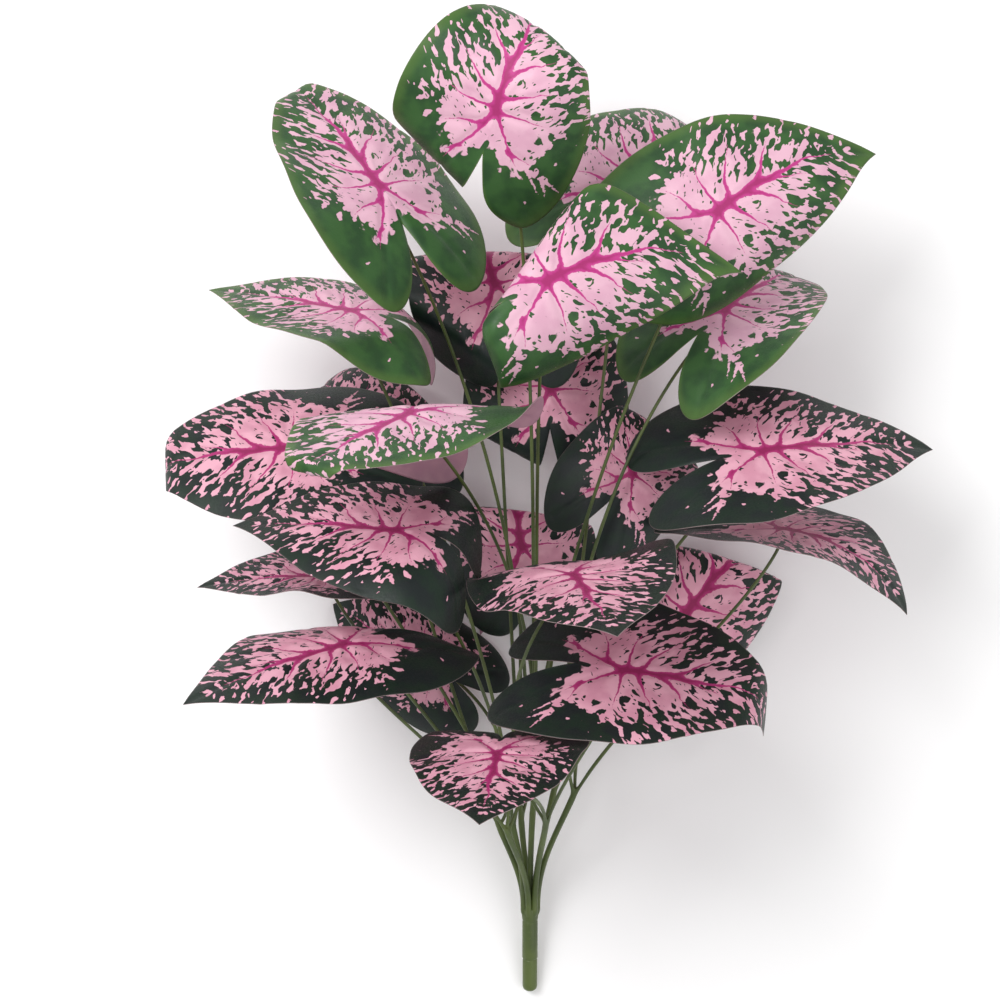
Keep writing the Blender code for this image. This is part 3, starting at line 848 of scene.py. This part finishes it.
# Handle
# A round plug moulded in one shot with the eight stems, which grow out of its upper end as ribs.
# It has two ring seams and a rounded foot, and is pushed into a vase or held in the hand.

HANDLE_SIDES = 64
EDGE_ROUNDING = 0.4
HANDLE_PROFILE = [
    (5.4, 77.4), (7.6, 75.4), (7.2, 70.0), (6.7, 65.2), (6.1, 64.4), (6.6, 63.6), (6.6, 30.5),
    (5.7, 29.5), (6.3, 28.5),
    (FOOT_RADIUS, FOOT_EDGE), (5.6, 2.0), (3.6, 0.4),
]


def mould_handle():
    """The handle's profile, swept round its axis."""
    mesh = bmesh.new()
    line = [(0, HANDLE_PROFILE[0][1])] + HANDLE_PROFILE + [(0, 0)]
    verts = [mesh.verts.new((r * MM, 0, z * MM)) for r, z in line]
    for pair in zip(verts, verts[1:]):
        mesh.edges.new(pair)
    bmesh.ops.bevel(mesh, geom=verts[1:-1], offset=EDGE_ROUNDING * MM, offset_type="OFFSET",
                    segments=2, profile=0.5, affect="VERTICES", material=-1)
    bmesh.ops.spin(mesh, geom=mesh.verts[:] + mesh.edges[:], cent=(0, 0, 0), axis=(0, 0, 1),
                   angle=math.tau, steps=HANDLE_SIDES, use_merge=True, use_duplicate=False)
    bmesh.ops.remove_doubles(mesh, verts=mesh.verts[:], dist=0.00001)
    bmesh.ops.recalc_face_normals(mesh, faces=mesh.faces[:])
    lie = Matrix(((1, 0, 0, 0), (0, HANDLE_UP.y, HANDLE_WAY.y, 0),
                  (0, HANDLE_UP.z, HANDLE_WAY.z, 0), (0, 0, 0, 1)))
    mesh.transform(Matrix.Translation(Vector(in_frame(HANDLE_FOOT))) @ lie)
    data = bpy.data.meshes.new("handle_body")
    mesh.to_mesh(data)
    mesh.free()
    data.shade_smooth()
    data.set_sharp_from_angle(angle=math.radians(40))
    body = bpy.data.objects.new("handle_body", data)
    bpy.context.scene.collection.objects.link(body)
    data.materials.append(PLASTIC)
    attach(body, "root")
    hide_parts("handle")


mould_handle()


# Floor, light and camera
# The bunch lies on plain pale paper under a large soft lamp, and the camera looks straight down.

PAPER_GAP = 0.3             # keeps the paper clear of what rests on the surface
sheet = bmesh.new()
bmesh.ops.create_grid(sheet, x_segments=1, y_segments=1, size=4.0)
bmesh.ops.translate(sheet, verts=sheet.verts[:], vec=(0, 0, -PAPER_GAP * MM))
paper = bpy.data.meshes.new("paper")
sheet.to_mesh(paper)
sheet.free()
floor = bpy.data.objects.new("floor", paper)
bpy.context.scene.collection.objects.link(floor)
paper_material, tree, shader = fresh_material("pale paper")
shader.inputs["Base Color"].default_value = (0.94, 0.94, 0.94, 1)
shader.inputs["Roughness"].default_value = 0.9
paper.materials.append(paper_material)


def soft_lamp(name, place, aim, size, power):
    """A square lamp at a place, turned toward what it lights."""
    lamp = bpy.data.lights.new(name, "AREA")
    lamp.size = size
    lamp.energy = power
    holder = bpy.data.objects.new(name, lamp)
    holder.location = place
    holder.rotation_euler = (Vector(aim) - Vector(place)).to_track_quat("-Z", "Y").to_euler()
    bpy.context.scene.collection.objects.link(holder)


MIDDLE = (0, 0, 0.1)
soft_lamp("key lamp", (-1.3, 1.1, 2.3), MIDDLE, size=1.5, power=58)
soft_lamp("fill lamp", (1.6, -0.8, 2.0), MIDDLE, size=2.4, power=18)
world = bpy.data.worlds.new("studio")
world.use_nodes = True
world.node_tree.nodes["Background"].inputs["Color"].default_value = (1, 1, 1, 1)
world.node_tree.nodes["Background"].inputs["Strength"].default_value = 0.68
bpy.context.scene.world = world
bpy.context.scene.view_settings.view_transform = "Standard"

CAMERA_PLACE = (-25.7, 422.1, 2410.0)
LEAF_HEIGHT = 120.0         # a middling height of the leaves, where the frame has this width
FRAME_WIDTH = 820.0
lens = bpy.data.cameras.new("camera")
lens.lens = lens.sensor_width * (CAMERA_PLACE[2] - LEAF_HEIGHT) / FRAME_WIDTH
lens.clip_end = 20.0
camera = bpy.data.objects.new("camera", lens)
camera.location = in_frame(CAMERA_PLACE)
bpy.context.scene.collection.objects.link(camera)
bpy.context.scene.camera = camera
